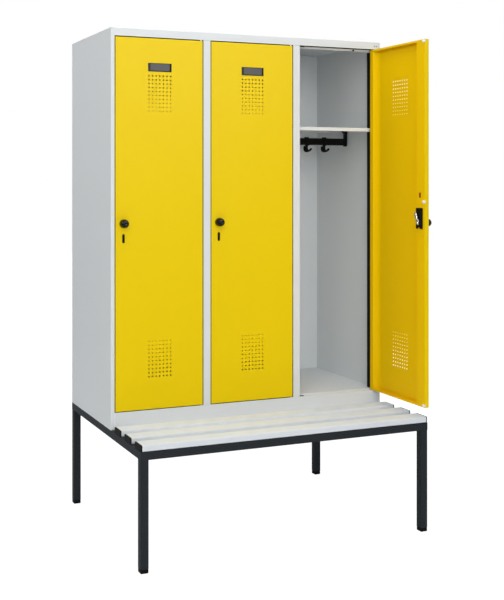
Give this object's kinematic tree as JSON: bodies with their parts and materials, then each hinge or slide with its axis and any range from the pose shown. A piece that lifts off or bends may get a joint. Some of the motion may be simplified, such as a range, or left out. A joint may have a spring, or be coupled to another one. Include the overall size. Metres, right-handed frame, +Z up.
{
  "type": "clothes locker with bench",
  "caption": "Steel clothes locker with hinged doors, turning locks, hat shelves and coat rails, standing on a welded tube frame with a slatted bench seat.",
  "frame": {"origin": "on the floor, under the middle of the whole object with its right-hand door open", "axes": "+Z up, the doors and the seat face -Y, +X to the right for someone who looks at the doors"},
  "size_m": [1.2106, 0.851, 1.95],
  "materials": {
    "cabinet": "light grey powder coat, satin",
    "door": "yellow powder coat, satin",
    "frame": "anthracite powder coat, satin",
    "slat": "light grey plastic profile, matt",
    "black_plastic": "black moulded plastic",
    "dark_plate": "dark grey plastic, bare",
    "zinc": "bright zinc plated steel"
  },
  "bodies": {
    "cabinet_and_bench": {"side_panel_left": "cabinet", "side_panel_right": "cabinet", "partition_1": "cabinet", "partition_2": "cabinet", "top_panel": "cabinet", "floor_panel": "cabinet", "back_panel": "cabinet", "hat_shelf_1": "cabinet", "coat_rail_1": "black_plastic", "hat_shelf_2": "cabinet", "coat_rail_2": "black_plastic", "hat_shelf_3": "cabinet", "coat_rail_3": "black_plastic", "bench_frame": "frame", "seat_slat_1": "slat", "slat_cap_left_1": "black_plastic", "slat_cap_right_1": "black_plastic", "seat_slat_2": "slat", "slat_cap_left_2": "black_plastic", "slat_cap_right_2": "black_plastic", "seat_slat_3": "slat", "slat_cap_left_3": "black_plastic", "slat_cap_right_3": "black_plastic", "foot_plug_front_left": "black_plastic", "foot_plug_front_right": "black_plastic", "foot_plug_rear_left": "black_plastic", "foot_plug_rear_right": "black_plastic"},
    "door_1": {"door_panel_1": "door", "door_stiffener_1": "door", "lock_case_1": "black_plastic", "name_plate_1": "dark_plate", "hinge_pin_top_1": "zinc", "hinge_pin_bottom_1": "zinc"},
    "latch_1": {"lock_knob_1": "black_plastic", "latch_cam_1": "zinc"},
    "hook_1_1": {"coat_hook_1_1": "black_plastic"},
    "hook_1_2": {"coat_hook_1_2": "black_plastic"},
    "hook_1_3": {"coat_hook_1_3": "black_plastic"},
    "door_2": {"door_panel_2": "door", "door_stiffener_2": "door", "lock_case_2": "black_plastic", "name_plate_2": "dark_plate", "hinge_pin_top_2": "zinc", "hinge_pin_bottom_2": "zinc"},
    "latch_2": {"lock_knob_2": "black_plastic", "latch_cam_2": "zinc"},
    "hook_2_1": {"coat_hook_2_1": "black_plastic"},
    "hook_2_2": {"coat_hook_2_2": "black_plastic"},
    "hook_2_3": {"coat_hook_2_3": "black_plastic"},
    "door_3": {"door_panel_3": "door", "door_stiffener_3": "door", "lock_case_3": "black_plastic", "name_plate_3": "dark_plate", "hinge_pin_top_3": "zinc", "hinge_pin_bottom_3": "zinc"},
    "latch_3": {"lock_knob_3": "black_plastic", "latch_cam_3": "zinc"},
    "hook_3_1": {"coat_hook_3_1": "black_plastic"},
    "hook_3_2": {"coat_hook_3_2": "black_plastic"},
    "hook_3_3": {"coat_hook_3_3": "black_plastic"}
  },
  "joints": [
    {"name": "door_hinge_1", "type": "hinge", "parent": "cabinet_and_bench", "child": "door_1", "pos_m": [-0.23075, -0.0695, 1.2043], "axis": [0, 0, 1], "range_deg": [0, 110]},
    {"name": "latch_turn_1", "type": "hinge", "parent": "door_1", "child": "latch_1", "pos_m": [-0.55425, -0.0745, 1.206], "axis": [0, -1, 0], "range_deg": [0, 100]},
    {"name": "hook_slide_1_1", "type": "slide", "parent": "cabinet_and_bench", "child": "hook_1_1", "axis": [1, 0, 0], "range_m": [-0.07, 0.03]},
    {"name": "hook_slide_1_2", "type": "slide", "parent": "cabinet_and_bench", "child": "hook_1_2", "axis": [1, 0, 0], "range_m": [-0.03, 0.03]},
    {"name": "hook_slide_1_3", "type": "slide", "parent": "cabinet_and_bench", "child": "hook_1_3", "axis": [1, 0, 0], "range_m": [-0.03, 0.085]},
    {"name": "door_hinge_2", "type": "hinge", "parent": "cabinet_and_bench", "child": "door_2", "pos_m": [0.16925, -0.0695, 1.2043], "axis": [0, 0, 1], "range_deg": [0, 110]},
    {"name": "latch_turn_2", "type": "hinge", "parent": "door_2", "child": "latch_2", "pos_m": [-0.15425, -0.0745, 1.206], "axis": [0, -1, 0], "range_deg": [0, 100]},
    {"name": "hook_slide_2_1", "type": "slide", "parent": "cabinet_and_bench", "child": "hook_2_1", "axis": [1, 0, 0], "range_m": [-0.07, 0.03]},
    {"name": "hook_slide_2_2", "type": "slide", "parent": "cabinet_and_bench", "child": "hook_2_2", "axis": [1, 0, 0], "range_m": [-0.03, 0.03]},
    {"name": "hook_slide_2_3", "type": "slide", "parent": "cabinet_and_bench", "child": "hook_2_3", "axis": [1, 0, 0], "range_m": [-0.03, 0.085]},
    {"name": "door_hinge_3", "type": "hinge", "parent": "cabinet_and_bench", "child": "door_3", "pos_m": [0.56925, -0.0695, 1.2043], "axis": [0, 0, 1], "range_deg": [-90, 20]},
    {"name": "latch_turn_3", "type": "hinge", "parent": "door_3", "child": "latch_3", "pos_m": [0.57425, -0.393, 1.206], "axis": [1, 0, 0], "range_deg": [0, 100]},
    {"name": "hook_slide_3_1", "type": "slide", "parent": "cabinet_and_bench", "child": "hook_3_1", "axis": [1, 0, 0], "range_m": [-0.07, 0.03]},
    {"name": "hook_slide_3_2", "type": "slide", "parent": "cabinet_and_bench", "child": "hook_3_2", "axis": [1, 0, 0], "range_m": [-0.03, 0.03]},
    {"name": "hook_slide_3_3", "type": "slide", "parent": "cabinet_and_bench", "child": "hook_3_3", "axis": [1, 0, 0], "range_m": [-0.03, 0.085]}
  ]
}
